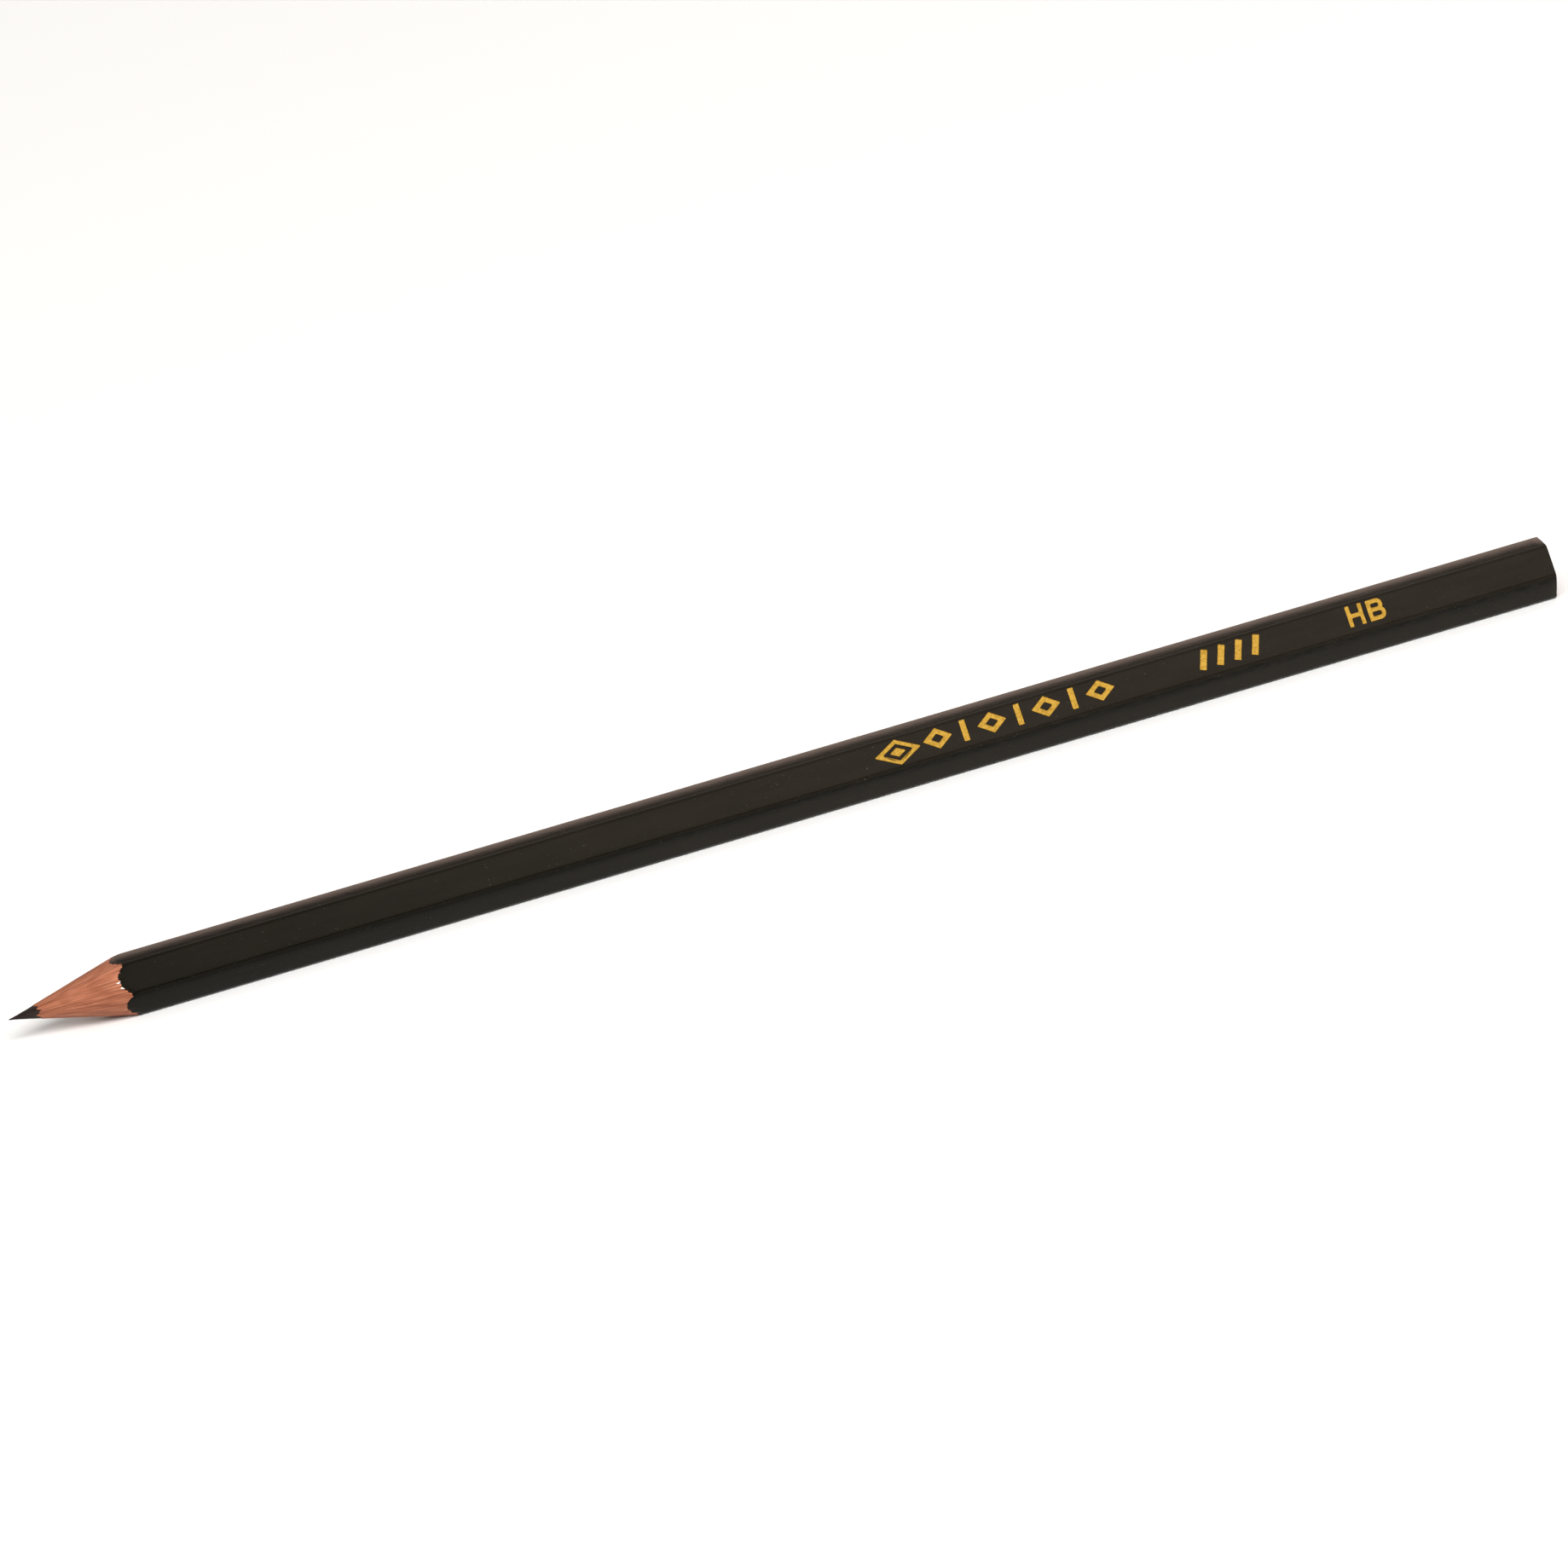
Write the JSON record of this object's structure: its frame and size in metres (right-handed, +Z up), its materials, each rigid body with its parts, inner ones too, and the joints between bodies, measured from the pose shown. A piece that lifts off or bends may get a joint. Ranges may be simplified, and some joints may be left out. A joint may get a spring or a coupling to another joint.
{
  "type": "graphite pencil",
  "caption": "Sharpened hexagonal graphite pencil with a black lacquered cedar body, a plain sawn end and gold foil grade letters and ornament.",
  "frame": {"origin": "on the surface that the pencil rests on, under the middle of its length and of its width", "axes": "+X along the pencil from the point to the sawn end, +Z up, out of the upper flat; the marked face looks to -Y and up at 30 degrees"},
  "size_m": [0.181, 0.0072, 0.0065],
  "materials": {
    "graphite": "satin, streaked by the blade",
    "wood_glue": "dried glue film",
    "cedar": "raw cut wood",
    "white_primer": "matte",
    "black_lacquer": "satin gloss lacquer",
    "gold_foil": "hot stamped metallic foil"
  },
  "bodies": {
    "root": {"graphite_core": "graphite", "core_glue": "wood_glue", "upper_slat": "cedar", "lower_slat": "cedar", "front_seam_glue": "wood_glue", "rear_seam_glue": "wood_glue", "primer_coat": "white_primer", "lacquer_coat": "black_lacquer", "emblem_frame": "gold_foil", "emblem_centre": "gold_foil", "band_diamond_1": "gold_foil", "band_diamond_2": "gold_foil", "band_diamond_3": "gold_foil", "band_diamond_4": "gold_foil", "band_bar_1": "gold_foil", "band_bar_2": "gold_foil", "band_bar_3": "gold_foil", "slash_bar_1": "gold_foil", "slash_bar_2": "gold_foil", "slash_bar_3": "gold_foil", "slash_bar_4": "gold_foil", "grade_letter_h": "gold_foil", "grade_letter_b": "gold_foil"}
  },
  "joints": []
}
